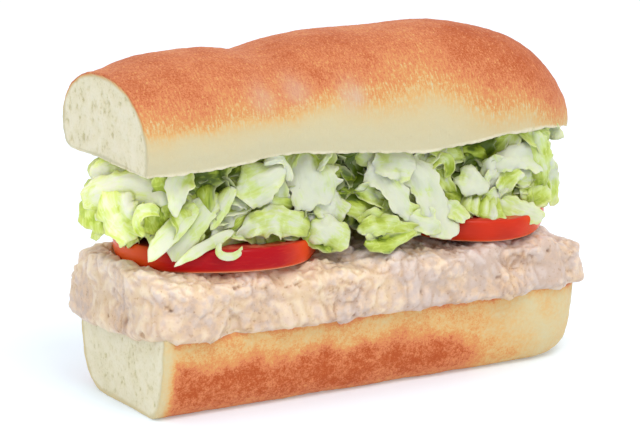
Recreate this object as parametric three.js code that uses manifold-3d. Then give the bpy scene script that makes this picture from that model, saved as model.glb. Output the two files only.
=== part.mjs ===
// A submarine sandwich: half of a long soft roll, split level and filled with tuna salad, two tomato
// slices and a thick layer of shredded iceberg lettuce.
// Millimetres. +X runs from the cut end to the round heel, -Y is the front and +Z is up.
// The table is z = 0 and the origin is under the middle of the sandwich.

import * as THREE from "three";
import { ImprovedNoise } from "three/addons/math/ImprovedNoise.js";
import { mergeVertices } from "three/addons/utils/BufferGeometryUtils.js";
import Module from "manifold-3d";

const wasm = await Module();
wasm.setup();

// Driving dimensions.
const baseLength = 155; // lower bread, cut face to heel
const baseWidth = 58; // at the split
const baseHeight = 26.5;
const crownLength = 160.5; // upper bread, which overhangs the lower one at the cut
const crownWidth = 57;
const crownSplit = 75; // level of the upper bread's split face
const crownTop = 107.3;
const saladTop = 42.5;
const saladOverhang = 3.5; // how far the salad stands out past the lower bread
const sliceThickness = 7;
const leafThickness = 1.3;
const gap = 0.35; // clearance kept between neighbours
const sliver = 0.1; // the smallest step kept in a cut surface

const baseCut = -79;
const crownCut = -83;
const baseHeel = baseCut + baseLength;
const crownHeel = crownCut + crownLength;

const upward = new THREE.Vector3(0, 0, 1);
const frontward = new THREE.Vector3(-0.4, -0.8, 0.45);

// Helpers.
const perlin = new ImprovedNoise();
const noise = (x, y, z, size) => perlin.noise(x / size, y / size, z / size);
const bump = (x, centre, reach) => Math.exp(-(((x - centre) / reach) ** 2));
const rounded = (u, power) => (1 - Math.min(1, Math.abs(u)) ** power) ** (1 / power);

// A seeded random number from low to high.
function randomFrom(seed) {
  let state = seed;
  return (low, high) => {
    state = (state * 1664525 + 1013904223) % 4294967296;
    return low + ((high - low) * state) / 4294967296;
  };
}

// One closed geometry from triangles over a list of points.
function closed(points, faces) {
  const geometry = new THREE.BufferGeometry().setFromPoints(points);
  geometry.setIndex(faces);
  return geometry;
}

// A closed skin through rings of equally many points, each ring counterclockwise seen from +X.
function loft(rings) {
  const count = rings[0].length;
  const last = rings.length - 1;
  const points = rings.flat();
  const faces = [];
  for (let i = 0; i < last; i++)
    for (let j = 0; j < count; j++) {
      const a = i * count + j;
      const b = i * count + ((j + 1) % count);
      faces.push(a, b, b + count, a, b + count, a + count);
    }
  const centre = (ring) =>
    ring.reduce((sum, p) => sum.add(p), new THREE.Vector3()).divideScalar(count);
  points.push(centre(rings[0]), centre(rings[last]));
  const first = last * count;
  for (let j = 0; j < count; j++) {
    const next = (j + 1) % count;
    faces.push(points.length - 2, next, j);
    faces.push(points.length - 1, first + j, first + next);
  }
  return closed(points, faces);
}

function toSolid(geometry) {
  const bare = new THREE.BufferGeometry();
  bare.setAttribute("position", geometry.getAttribute("position"));
  bare.setIndex(geometry.index);
  const merged = mergeVertices(bare, 1e-4);
  return new wasm.Manifold(
    new wasm.Mesh({
      numProp: 3,
      vertProperties: merged.getAttribute("position").array,
      triVerts: new Uint32Array(merged.index.array),
    }),
  );
}

// The largest body's outer skin as a geometry: loose scraps go, and sealed hollows are filled.
function outerSkin(solid) {
  const largest = solid.decompose().reduce((a, b) => (a.volume() > b.volume() ? a : b));
  const mesh = largest.getMesh();
  const geometry = new THREE.BufferGeometry();
  geometry.setAttribute("position", new THREE.BufferAttribute(mesh.vertProperties, 3));
  geometry.setIndex(new THREE.BufferAttribute(mesh.triVerts, 1));
  return geometry;
}

// The main body with slivers smoothed away. A hollow which that pinches off goes in a second pass.
function mainBody(solid) {
  return outerSkin(toSolid(outerSkin(solid.asOriginal().simplify(sliver))));
}

// Stations from the cut to the heel: even along the loaf, closer together round the heel.
function stations(cut, heel, turn, even, close) {
  const along = Array.from({ length: even }, (_, i) => cut + ((turn - cut) * i) / even);
  const round = Array.from(
    { length: close + 1 },
    (_, i) => turn + (heel - turn) * Math.sin((0.495 * Math.PI * i) / close),
  );
  return [...along, ...round];
}

// Lower bread. Its outline is in half widths and heights: a flat foot, sides that lean out.
function baseOutline() {
  const path = new THREE.Path();
  path.moveTo(-1.02, 1);
  path.bezierCurveTo(-0.96, 0.5, -0.92, 0.04, -0.66, 0);
  path.lineTo(0.42, 0);
  path.bezierCurveTo(0.86, 0.03, 0.93, 0.4, 0.93, 1);
  path.lineTo(-1.02, 1);
  return path.getSpacedPoints(32).slice(0, -1);
}

function baseGeometry(grow = 0) {
  const turn = baseHeel - 30;
  const outline = baseOutline();
  const rings = stations(baseCut - grow, baseHeel + grow, turn, 10, 9).map((x) => {
    const u = (x - turn) / (baseHeel + grow - turn);
    const wide = (baseWidth / 2 + grow) * (u > 0 ? rounded(u, 2.6) : 1);
    const deep = u > 0 ? rounded(u, 4) : 1;
    return outline.map((p) => {
      const side = p.y > 0.05 && p.y < 0.95;
      const swell = 1 + (side ? 0.018 * noise(x, 40 * p.x, 30 * p.y, 21) : 0);
      const top = baseHeight + 0.5 * noise(x, 60 * p.x, 7, 17) + grow;
      const foot = p.y < 0.02 && deep > 0.95 ? 0 : top - baseHeight * deep * (1 - p.y);
      return new THREE.Vector3(x, p.x * wide * swell, p.y > 0.98 ? top : foot - grow);
    });
  });
  return loft(rings);
}

// Upper bread. Its split face sags between the heaps of lettuce.
function crownOutline() {
  const path = new THREE.Path();
  path.moveTo(-0.97, 0);
  path.lineTo(0.76, 0);
  path.bezierCurveTo(0.9, 0, 1, 0.1, 1, 0.28);
  path.bezierCurveTo(1, 0.72, 0.6, 1, 0, 1);
  path.bezierCurveTo(-0.56, 1, -1.02, 0.68, -0.99, 0.15);
  path.lineTo(-0.97, 0);
  return path.getSpacedPoints(34).slice(0, -1);
}

// The dome's ridge: pressed down by the knife at the cut, a low lobe, a dip and the high lobe.
function crownRidge(x) {
  const lobes = crownTop - 1.9 * (1 - THREE.MathUtils.smoothstep(x, -40, -12));
  return lobes - 1.5 * bump(x, -40, 7) - 4.2 * bump(x, crownCut, 12);
}

function crownGeometry(grow = 0) {
  const turn = crownHeel - 56;
  const outline = crownOutline();
  const rings = stations(crownCut - grow, crownHeel + grow, turn, 14, 11).map((x) => {
    const u = (x - turn) / (crownHeel + grow - turn);
    const wide = (crownWidth / 2 + grow) * (u > 0 ? rounded(u, 2.4) : 1);
    const sag = 2.4 * bump(x, 13, 20) - 2 * bump(x, -36, 18) + 4 * bump(x, crownHeel, 14);
    const split = crownSplit - sag;
    const high = crownRidge(x) - crownSplit;
    const deep = (u > 0 ? rounded(u, 2.05) * high : high) + sag * (u > 0.75 ? 0 : 1);
    return outline.map((p) => {
      const swell = 1 + 0.02 * noise(x, 30 * p.x, 30 * p.y, 26) * Math.min(1, 4 * p.y);
      const y = p.x * wide * swell;
      const under = p.y < 0.02 ? 0.6 * noise(x, y, 3, 11) - grow : grow * (2 * p.y - 1);
      return new THREE.Vector3(x, y, split + p.y * deep * swell + under);
    });
  });
  return loft(rings).translate(0, 1, 0);
}

// Tuna salad: a lumpy slab with round edges that stands out past the lower bread. It is piled
// higher at the cut end and between the tomato slices.
function saladGeometry(grow = 0) {
  const foot = baseHeight - 3;
  const low = baseCut - saladOverhang;
  const high = baseHeel - 2.5;
  const around = 32;
  const along = 34;
  const rings = Array.from({ length: along + 1 }, (_, i) => {
    const s = -Math.cos((Math.PI * (i + 0.35)) / (along + 0.7));
    const flat = Math.sign(s) * Math.abs(s) ** 0.8;
    const end = rounded(flat, s < 0 ? 8 : 5);
    const x = (low + high) / 2 + flat * ((high - low) / 2 + grow);
    const roof = saladTop + 4 * bump(x, low, 22) + 3 * bump(x, 3, 15) - 2 * bump(x, high, 14);
    const middle = (foot + roof) / 2;
    return Array.from({ length: around }, (_, j) => {
      const turn = (2 * Math.PI * j) / around;
      const c = Math.cos(turn);
      const d = Math.sin(turn);
      const y = Math.sign(c) * Math.abs(c) ** 0.5 * (baseWidth / 2 + saladOverhang - 1) * end;
      const z = middle + Math.sign(d) * Math.abs(d) ** 0.6 * (middle - foot) * end ** 0.5;
      const lumps = 3.2 * noise(x, y, z, 13) + 1.5 * noise(x, y, z, 5.5) + grow;
      const out = new THREE.Vector3(0.35 * Math.sign(s) * (1 - end), c, 0.8 * d);
      return new THREE.Vector3(x, y, z).addScaledVector(out, lumps);
    });
  });
  return loft(rings);
}

// Tomato slices, each a disc with a bulging skin and a faintly lobed outline.
function sliceGeometry(radius, grow = 0) {
  const half = sliceThickness / 2 + grow;
  const rim = radius + grow;
  const profile = [
    [0, -half],
    [0.55 * rim, -half],
    [rim - 1.6, -half],
    [rim - 0.3, -0.62 * half],
    [rim, 0],
    [rim - 0.3, 0.62 * half],
    [rim - 1.6, half],
    [0.55 * rim, half],
    [0, half],
  ].map(([r, z]) => new THREE.Vector2(r, z));
  const geometry = new THREE.LatheGeometry(profile, 30).rotateX(Math.PI / 2);
  const position = geometry.getAttribute("position");
  for (let i = 0; i < position.count; i++) {
    const x = position.getX(i);
    const y = position.getY(i);
    const lobes = 1 + 0.014 * Math.cos(5 * Math.atan2(y, x) + 0.6);
    position.setXYZ(i, x * lobes, y * lobes, position.getZ(i) - 0.0012 * x * x);
  }
  return geometry;
}

const slices = [
  { name: "tomato_slice_left", radius: 31, at: [-46, 1, 46.4], tilt: [-0.02, 0.03] },
  { name: "tomato_slice_right", radius: 26, at: [39.5, -4, 48.6], tilt: [0.13, 0.02] },
];

function slicePose({ at, tilt }) {
  const turned = new THREE.Euler(tilt[0], tilt[1], 0);
  return new THREE.Matrix4().makeRotationFromEuler(turned).setPosition(...at);
}

// One shred of lettuce: a thin wavy strip, both faces split alike. It leaves `from` along `heading`
// with its broad side to `facing`, droops as it goes and narrows to `taper` of its width.
function shredGeometry({ from, heading, facing, length, width, droop, wave, phase, taper }) {
  const steps = 4;
  const across = 2;
  const top = [];
  const under = [];
  const side = new THREE.Vector3().crossVectors(facing, heading).normalize();
  const spot = from.clone();
  for (let i = 0; i <= steps; i++) {
    const s = i / steps;
    const flow = heading.clone().applyAxisAngle(side, droop * s);
    const out = new THREE.Vector3().crossVectors(flow, side);
    const half = (width / 2) * (1 + (taper - 1) * s) * (0.86 + 0.14 * Math.sin(5 * s + phase));
    for (let j = 0; j <= across; j++) {
      const v = (2 * j) / across - 1;
      const ruffle = Math.sin(7 * s + phase) * (0.4 + 0.6 * v) + 0.7 * Math.cos(2 * v + phase);
      const place = spot.clone().addScaledVector(side, v * half).addScaledVector(out, wave * ruffle);
      top.push(place.clone().addScaledVector(out, leafThickness / 2));
      under.push(place.addScaledVector(out, -leafThickness / 2));
    }
    spot.addScaledVector(flow, length / steps);
  }
  const row = across + 1;
  const flip = top.length;
  const faces = [];
  const quad = (a, b, c, d) => faces.push(a, b, c, a, c, d);
  for (let i = 0; i < steps; i++)
    for (let j = 0; j < across; j++) {
      const a = i * row + j;
      quad(a, a + row, a + row + 1, a + 1);
      quad(a + flip, a + 1 + flip, a + row + 1 + flip, a + row + flip);
    }
  for (let i = 0; i < steps; i++) {
    const a = i * row;
    const b = a + across;
    quad(a, a + flip, a + row + flip, a + row);
    quad(b, b + row, b + row + flip, b + flip);
  }
  for (let j = 0; j < across; j++) {
    const b = steps * row + j;
    quad(j, j + 1, j + 1 + flip, j + flip);
    quad(b, b + flip, b + 1 + flip, b + 1);
  }
  return closed([...top, ...under], faces);
}

// Lettuce: a lumpy core with shreds fused on all round it, in layers, by a seeded rule.
const heap = { low: -70, high: 58, half: 15, floor: 50, roof: crownSplit + 1 };
const layers = [
  { level: 71, lift: 0.15, reach: 13, droop: 0.35 },
  { level: 64, lift: 0.05, reach: 16, droop: 1 },
  { level: 57, lift: 0, reach: 15, droop: 1.35 },
];
const sides = [
  { count: 4, ends: [[heap.low, -heap.half], [heap.high, -heap.half]], outward: [0, -1] },
  { count: 3, ends: [[heap.high, -heap.half], [heap.high, heap.half]], outward: [1, 0] },
  { count: 6, ends: [[heap.high, heap.half], [heap.low, heap.half]], outward: [0, 1] },
  { count: 3, ends: [[heap.low, heap.half], [heap.low, -heap.half]], outward: [-1, 0] },
];
// The large pieces that hang over the front, from where they leave the heap to their tips.
const largeLeaves = [
  { from: [-62, 4, 71], to: [-87, 9, 69], width: 19 }, // rounded leaf under the cut end
  { from: [-60, -8, 66], to: [-90, 4, 60], width: 22 },
  { from: [-52, -17, 67], to: [-78, -15, 50], width: 6 }, // three prongs
  { from: [-52, -17, 66], to: [-73, -19, 50], width: 6 },
  { from: [-50, -17, 65], to: [-74, -27, 48], width: 5 },
  { from: [-68, -12, 74], to: [-70, -19, 61], width: 8 },
  { from: [-54, -16, 65], to: [-33, -22, 68], width: 13 },
  { from: [-52, -18, 57], to: [-22, -22, 56], width: 10 },
  { from: [-30, -13, 74], to: [-24, -24, 58], width: 18 },
  { from: [-34, -14, 60], to: [-22, -29, 50], width: 15 },
  { from: [-8, -13, 62], to: [0, -31, 48], width: 17 },
  { from: [-10, -14, 71], to: [17, -30, 47], width: 14 },
  { from: [22, -13, 68], to: [30, -24, 60], width: 12 },
  { from: [30, -13, 62], to: [33, -28, 51], width: 15 },
  { from: [40, -13, 71], to: [60, -22, 58], width: 20 },
  { from: [38, -14, 61], to: [49, -30, 48], width: 10 }, // tongue over the right slice
];

function heapCore() {
  const long = heap.high - heap.low;
  const tall = heap.roof - heap.floor;
  const core = new THREE.BoxGeometry(long, 2 * heap.half, tall, 7, 2, 2);
  core.translate((heap.high + heap.low) / 2, 0, (heap.roof + heap.floor) / 2);
  const position = core.getAttribute("position");
  for (let i = 0; i < position.count; i++) {
    const [x, y, z] = [position.getX(i), position.getY(i), position.getZ(i)];
    const push = 1 + 0.2 * noise(x, y, z, 12);
    position.setXYZ(i, x, y * push, z + 2 * noise(x, y, 9, 14));
  }
  return core;
}

// The shreds of one layer on one side of the heap.
function rowOfShreds(layer, { count, ends, outward }, pick) {
  return Array.from({ length: count }, (_, i) => {
    const share = (i + 0.5 + pick(-0.35, 0.35)) / count;
    const [from, to] = ends.map(([x, y]) => new THREE.Vector3(x, y, layer.level + pick(-2, 2)));
    const heading = new THREE.Vector3(...outward, layer.lift + pick(-0.15, 0.15));
    heading.applyAxisAngle(upward, pick(-0.75, 0.75)).normalize();
    return shredGeometry({
      from: from.lerp(to, share).addScaledVector(heading, -3),
      heading,
      facing: upward,
      length: layer.reach + pick(0, 6) - 2 * Math.abs(outward[0]),
      width: pick(13, 22),
      droop: layer.droop * pick(0.6, 1.3),
      wave: pick(0.7, 1.8),
      phase: pick(0, 6),
      taper: pick(0.35, 1),
    });
  });
}

function largeLeafGeometry({ from, to, width }, pick) {
  const start = new THREE.Vector3(...from);
  const heading = new THREE.Vector3(...to).sub(start);
  const length = heading.length();
  const pose = { from: start, heading: heading.normalize(), facing: frontward };
  return shredGeometry({ ...pose, length, width, droop: 0, wave: 1, phase: pick(0, 6), taper: 0.6 });
}

function lettuceGeometry() {
  const pick = randomFrom(7);
  const shreds = largeLeaves.map((leaf) => largeLeafGeometry(leaf, pick));
  for (const layer of layers)
    for (const side of sides) shreds.push(...rowOfShreds(layer, side, pick));
  let solid = toSolid(heapCore());
  for (const shred of shreds) solid = solid.add(toSolid(shred));
  solid = solid.subtract(toSolid(crownGeometry(gap))).subtract(toSolid(saladGeometry(gap)));
  return mainBody(withoutSlices(solid));
}

function withoutSlices(solid) {
  return slices.reduce((rest, slice) => {
    const around = sliceGeometry(slice.radius, gap).applyMatrix4(slicePose(slice));
    return rest.subtract(toSolid(around));
  }, solid);
}

function saladAroundNeighbours() {
  const solid = toSolid(saladGeometry()).subtract(toSolid(baseGeometry(gap)));
  return mainBody(withoutSlices(solid));
}

// The sandwich.
const sandwich = new THREE.Group();

function place(name, geometry, color, roughness) {
  const mesh = new THREE.Mesh(
    geometry,
    new THREE.MeshStandardMaterial({ color, roughness, metalness: 0 }),
  );
  mesh.name = name;
  sandwich.add(mesh);
  return mesh;
}

place("bread_base", baseGeometry(), 0xd9a066, 0.8);
place("tuna_salad", saladAroundNeighbours(), 0xd9c2ac, 0.5);
for (const slice of slices) {
  const mesh = place(slice.name, sliceGeometry(slice.radius), 0xd6321f, 0.3);
  mesh.applyMatrix4(slicePose(slice));
}
place("lettuce", lettuceGeometry(), 0xb9d07a, 0.5);
place("bread_crown", crownGeometry(), 0xc9834a, 0.7);

export default sandwich;
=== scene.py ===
"""Looks of a submarine sandwich: a split roll with a baked crust and an open crumb, flaked tuna
salad, two tomato slices and a heap of shredded iceberg lettuce, under soft studio light.

The frame is in metres: +X runs from the cut end to the heel, -Y is the front and +Z is up.
Shapes are worked out in millimetres and scaled when their mesh is made."""

import itertools
import math
from collections import defaultdict, namedtuple

import bpy
import numpy as np
from mathutils import Matrix, Vector


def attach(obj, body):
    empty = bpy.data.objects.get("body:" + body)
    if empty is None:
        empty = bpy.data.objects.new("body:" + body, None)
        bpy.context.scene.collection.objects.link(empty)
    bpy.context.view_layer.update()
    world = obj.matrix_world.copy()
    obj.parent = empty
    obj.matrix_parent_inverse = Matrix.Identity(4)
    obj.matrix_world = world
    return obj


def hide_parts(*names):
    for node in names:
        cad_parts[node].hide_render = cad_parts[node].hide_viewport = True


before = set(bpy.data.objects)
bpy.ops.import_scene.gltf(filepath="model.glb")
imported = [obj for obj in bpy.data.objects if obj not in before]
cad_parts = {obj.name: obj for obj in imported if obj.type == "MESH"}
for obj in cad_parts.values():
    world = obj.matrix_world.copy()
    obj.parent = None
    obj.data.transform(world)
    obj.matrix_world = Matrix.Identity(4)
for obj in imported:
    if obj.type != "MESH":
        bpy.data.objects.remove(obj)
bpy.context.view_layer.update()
MM = 0.001


# Camera and studio.
AZIMUTH = math.radians(-30)
ELEVATION = math.radians(13.5)
TARGET = Vector((-9.8, 0, 49.3)) * MM
DISTANCE = 1.048
SENSOR_WIDTH = 36
FOCAL_PIXELS = 3400
IMAGE_WIDTH = 640
KEY_PLACE = (-0.05, -0.75, 1.2)
KEY_SIZE = 0.6
KEY_POWER = 6.5
WARM_WHITE = (1.0, 0.985, 0.965)
WHITE = (1.0, 1.0, 1.0, 1.0)
SKY_STRENGTH = 1.04
LIGHT_LEVEL = 1.22
TABLE_HALF = 3.0
TABLE_GLOW = 0.22
TABLE_WHITE = (0.7, 0.795, 0.895, 1.0)
TABLE_COOL = (0.71, 0.8, 0.9, 1.0)


def add_object(name, data):
    thing = bpy.data.objects.new(name, data)
    bpy.context.scene.collection.objects.link(thing)
    return thing


def make_camera():
    data = bpy.data.cameras.new("camera")
    data.sensor_width = SENSOR_WIDTH
    data.lens = SENSOR_WIDTH * FOCAL_PIXELS / IMAGE_WIDTH
    camera = add_object("camera", data)
    level = math.cos(ELEVATION)
    back = Vector((math.sin(AZIMUTH) * level, -math.cos(AZIMUTH) * level, math.sin(ELEVATION)))
    camera.location = TARGET + back * DISTANCE
    camera.rotation_euler = back.to_track_quat("Z", "Y").to_euler()
    bpy.context.scene.camera = camera


def make_key_light():
    data = bpy.data.lights.new("key", "AREA")
    data.shape = "DISK"
    data.size = KEY_SIZE
    data.energy = KEY_POWER
    data.color = WARM_WHITE
    light = add_object("key", data)
    light.location = KEY_PLACE
    light.rotation_euler = (Vector(KEY_PLACE) - TARGET).to_track_quat("Z", "Y").to_euler()


def make_sky():
    world = bpy.data.worlds.new("studio")
    world.use_nodes = True
    background = world.node_tree.nodes["Background"]
    background.inputs["Color"].default_value = WHITE
    background.inputs["Strength"].default_value = SKY_STRENGTH
    bpy.context.scene.world = world
    bpy.context.scene.view_settings.view_transform = "Standard"


# Small helpers for shapes.
def smoothstep(value, low, high):
    """From 0 at low to 1 at high. Low may be the larger of the two."""
    t = np.clip((value - low) / (high - low), 0, 1)
    return t * t * (3 - 2 * t)


def bump(x, centre, reach):
    return np.exp(-(((x - centre) / reach) ** 2))


def rounded(u, power):
    """1 up to u = 0, then falling to 0 at u = 1 like the end of a loaf."""
    return (1 - np.clip(u, 0, 1) ** power) ** (1 / power)


def unit(vectors):
    return vectors / np.maximum(np.linalg.norm(vectors, axis=-1, keepdims=True), 1e-9)


rng = np.random.default_rng(3)
draw = rng.uniform
LATTICE_ORDER = np.tile(rng.permutation(256), 2)
LATTICE_GRADIENTS = unit(rng.normal(size=(256, 3)))


def noise(points, size, seed=0):
    """Smooth noise from about -1 to 1 at points (..., 3), with features of about that size."""
    p = np.asarray(points, float) / size + 17.31 * seed
    cell = np.floor(p).astype(int)
    f = p - cell
    blend = f * f * f * (f * (f * 6 - 15) + 10)
    total = np.zeros(p.shape[:-1])
    for corner in itertools.product((0, 1), repeat=3):
        at = (cell + corner) & 255
        key = LATTICE_ORDER[LATTICE_ORDER[LATTICE_ORDER[at[..., 0]] + at[..., 1]] + at[..., 2]]
        weight = np.prod(np.where(corner, blend, 1 - blend), axis=-1)
        total += weight * np.sum(LATTICE_GRADIENTS[key] * (f - corner), axis=-1)
    return 1.7 * total


def bezier(*controls, count=60):
    """Points on a cubic or lower Bezier curve."""
    t = np.linspace(0, 1, count)[:, None]
    degree = len(controls) - 1
    return sum(
        math.comb(degree, k) * t**k * (1 - t) ** (degree - k) * np.array(control, float)
        for k, control in enumerate(controls)
    )


def curve_through(points, count):
    """Points on the smooth curve through a few given ones."""
    knots = np.linspace(0, 1, len(points))
    t = np.linspace(0, 1, count)
    axes = np.array(points, float).T
    return np.column_stack([np.polyval(np.polyfit(knots, axis, len(points) - 1), t) for axis in axes])


def evenly(points, count):
    """Points at even steps along a closed outline."""
    closed = np.vstack([points, points[:1]])
    steps = np.linalg.norm(np.diff(closed, axis=0), axis=1)
    length = np.concatenate([[0], np.cumsum(steps)])
    wanted = np.arange(count) * length[-1] / count
    return np.column_stack([np.interp(wanted, length, closed[:, k]) for k in range(2)])


def placed(x, y, z):
    """Points (..., 3) from coordinates that broadcast together."""
    return np.stack(np.broadcast_arrays(x, y, z), axis=-1)


# The order of a quad's corners that turns it over.
FLIPPED = [0, 3, 2, 1]


def grid_quads(numbers):
    """Quads between the points of a grid, from the points' numbers."""
    corners = [numbers[:-1, :-1], numbers[1:, :-1], numbers[1:, 1:], numbers[:-1, 1:]]
    return np.stack(corners, axis=-1).reshape(-1, 4)


def normals_of(points, faces):
    """Unit normals at the points of a mesh of quads."""
    corners = points[faces]
    face_normals = np.cross(corners[:, 2] - corners[:, 0], corners[:, 3] - corners[:, 1])
    total = np.zeros_like(points)
    for k in range(4):
        np.add.at(total, faces[:, k], face_normals)
    return unit(total)


def make_piece(name, node, points, faces, material, values=None):
    """A smooth-shaded mesh in place of a node, from points in millimetres, with a number or a
    vector of each name at its points."""
    mesh = bpy.data.meshes.new(name)
    faces = faces.tolist() if isinstance(faces, np.ndarray) else faces
    mesh.from_pydata((points * MM).tolist(), [], faces)
    for key, value in (values or {}).items():
        flat = np.asarray(value, np.float32).ravel()
        kind, field = ("FLOAT", "value") if len(flat) == len(points) else ("FLOAT_VECTOR", "vector")
        mesh.attributes.new(key, kind, "POINT").data.foreach_set(field, flat)
    mesh.shade_smooth()
    mesh.materials.append(material)
    piece = add_object(name, mesh)
    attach(piece, "root")
    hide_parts(node)


# Small helpers for materials.
def colour(red, green, blue):
    """The surface colour that shows as these values of 0 to 255 under the studio light."""
    shown = [v / 255 for v in (red, green, blue)]
    linear = [v / 12.92 if v <= 0.04045 else ((v + 0.055) / 1.055) ** 2.4 for v in shown]
    return (*(v / LIGHT_LEVEL for v in linear), 1.0)


class Shader:
    """A material with one Principled shader, and short ways to add nodes to it."""

    def __init__(self, name, roughness, subsurface=0.0, radius=1.0, scatter=(1.0, 0.7, 0.4),
                 shine=0.5):
        self.material = bpy.data.materials.new(name)
        self.material.use_nodes = True
        self.tree = self.material.node_tree
        self.surface = self.tree.nodes["Principled BSDF"]
        self.set("Roughness", roughness)
        self.set("Subsurface Weight", subsurface)
        self.set("Subsurface Radius", scatter)
        self.set("Subsurface Scale", radius * MM)
        self.set("Specular IOR Level", shine)

    def connect(self, value, socket):
        if isinstance(value, bpy.types.NodeSocket):
            self.tree.links.new(value, socket)
        else:
            socket.default_value = value

    def set(self, name, value):
        self.connect(value, self.surface.inputs[name])

    def node(self, kind, **inputs):
        """A new node whose named inputs are set to values or linked to other nodes."""
        node = self.tree.nodes.new("ShaderNode" + kind)
        for key, value in inputs.items():
            self.connect(value, node.inputs[key.replace("_", " ")])
        return node

    def attribute(self, name, output="Fac"):
        node = self.node("Attribute")
        node.attribute_name = name
        return node.outputs[output]

    def place(self):
        """The piece's own coordinates, in millimetres."""
        return self.scaled(self.node("TexCoord").outputs["Object"], (1 / MM,) * 3)

    def scaled(self, vector, scale):
        return self.node("Mapping", Vector=vector, Scale=scale).outputs["Vector"]

    def noise(self, vector, size, detail=2.0, roughness=0.5):
        node = self.node("TexNoise", Vector=vector, Scale=1 / size, Detail=detail, Roughness=roughness)
        return node.outputs["Fac"]

    def math(self, operation, a, b=0.0):
        node = self.node("Math")
        node.operation = operation
        self.connect(a, node.inputs[0])
        self.connect(b, node.inputs[1])
        return node.outputs["Value"]

    def sum(self, *values):
        total = values[0]
        for value in values[1:]:
            total = self.math("ADD", total, value)
        return total

    def product(self, a, b):
        return self.math("MULTIPLY", a, b)

    def ranged(self, value, low, high, to_low=0.0, to_high=1.0):
        node = self.node("MapRange", Value=value, From_Min=low, From_Max=high, To_Min=to_low,
                         To_Max=to_high)
        node.interpolation_type = "SMOOTHSTEP"
        return node.outputs["Result"]

    def ramp(self, value, *stops):
        """A colour ramp through (position, colour) stops."""
        node = self.node("ValToRGB", Fac=value)
        elements = node.color_ramp.elements
        while len(elements) < len(stops):
            elements.new(0.5)
        for element, (position, shade) in zip(elements, stops):
            element.position = position
            element.color = shade
        return node.outputs["Color"]

    def mix(self, factor, a, b, blend="MIX"):
        node = self.node("Mix")
        node.data_type = "RGBA"
        node.blend_type = blend
        sockets = {socket.identifier: socket for socket in node.inputs}
        self.connect(factor, sockets["Factor_Float"])
        self.connect(a, sockets["A_Color"])
        self.connect(b, sockets["B_Color"])
        return {socket.identifier: socket for socket in node.outputs}["Result_Color"]

    def relief(self, height, distance):
        node = self.node("Bump", Height=height, Distance=distance * MM)
        self.set("Normal", node.outputs["Normal"])

    def finish(self, base_colour):
        self.set("Base Color", base_colour)
        return self.material


# Bread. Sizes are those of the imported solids.
BASE_CUT = -79.0
BASE_HEEL = 76.0
BASE_WIDTH = 58.0
BASE_HEIGHT = 26.5
BASE_TURN = BASE_HEEL - 30
CROWN_CUT = -83.0
CROWN_HEEL = 77.5
CROWN_WIDTH = 57.0
CROWN_SPLIT = 75.0
CROWN_TOP = 107.3
CROWN_TURN = CROWN_HEEL - 56
AROUND = 256
ALONG = 225
CAP_RINGS = 44
EDGE_ROUND = 0.5
CRUST = 0.5
# Lightens the lower bread's crust.
LOWER_CRUST_TINT = (1.12, 1.08, 1.03, 1.0)
# Pale dusty patches on the upper bread's front, each as (x, z, strength).
BLOOM_PATCHES = [(-13, 92, 0.75), (-31, 95, 0.5), (-43, 94, 0.45)]


def base_outline():
    front = bezier((-1.02, 1), (-0.96, 0.5), (-0.92, 0.04), (-0.66, 0))
    back = bezier((0.42, 0), (0.86, 0.03), (0.93, 0.4), (0.93, 1))
    return evenly(np.vstack([(0, 1), front, back]), AROUND)


def crown_outline():
    back = bezier((0.76, 0), (0.9, 0), (1, 0.1), (1, 0.28))
    over = bezier((1, 0.28), (1, 0.72), (0.6, 1), (0, 1))
    front = bezier((0, 1), (-0.56, 1), (-1.02, 0.68), (-0.99, 0.15))
    return evenly(np.vstack([(0, 0), back, over, front, (-0.97, 0)]), AROUND)


def stations(cut, heel, turn):
    """Places along the loaf: close at the cut's edge, then even, then closer round the heel."""
    edge = cut + EDGE_ROUND * (1 - np.cos(np.linspace(0, math.pi / 2, 4)))
    even = np.linspace(edge[-1], turn, int(0.6 * ALONG))[1:-1]
    round_heel = turn + (heel - turn) * np.sin(np.linspace(0, 0.495 * math.pi, int(0.4 * ALONG)))
    return np.concatenate([edge, even, round_heel])


def crown_ridge(x):
    lobes = CROWN_TOP - 1.9 * (1 - smoothstep(x, -37, -9))
    return lobes - 1.5 * bump(x, -36, 7) - 4.2 * bump(x, CROWN_CUT, 12)


def crown_sag(x):
    return 2.4 * bump(x, 13, 20) - 2 * bump(x, -36, 18) + 4 * bump(x, CROWN_HEEL, 14)


def crown_raggedness(x, outline):
    """The crown's torn lower edge: it wavers on the front and the back."""
    y = np.sign(outline[:, 0]) * 30
    places = placed(x, y, 0.0)
    torn = 0.5 * noise(places, 7, 16) + 0.35 * noise(places, 2.4, 17)
    return torn * smoothstep(np.abs(outline[:, 0]), 0.5, 0.9) * smoothstep(outline[:, 1], 0.25, 0)


def crown_rings():
    x = stations(CROWN_CUT, CROWN_HEEL, CROWN_TURN)[:, None]
    outline = crown_outline()
    u = (x - CROWN_TURN) / (CROWN_HEEL - CROWN_TURN)
    sag = crown_sag(x) + crown_raggedness(x, outline)
    deep = rounded(u, 2.05) * (crown_ridge(x) - CROWN_SPLIT) + sag * smoothstep(u, 1, 0.5)
    y = 1 + outline[:, 0] * CROWN_WIDTH / 2 * rounded(u, 2.4)
    z = CROWN_SPLIT - sag + outline[:, 1] * deep
    return placed(x, y, z)


def base_half_width(x):
    return BASE_WIDTH / 2 * rounded((x - BASE_TURN) / (BASE_HEEL - BASE_TURN), 2.6)


def base_rings():
    x = stations(BASE_CUT, BASE_HEEL, BASE_TURN)[:, None]
    outline = base_outline()
    u = (x - BASE_TURN) / (BASE_HEEL - BASE_TURN)
    y = outline[:, 0] * base_half_width(x)
    z = BASE_HEIGHT * (1 - rounded(u, 4) * (1 - outline[:, 1]))
    return placed(x, y, z)


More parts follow.
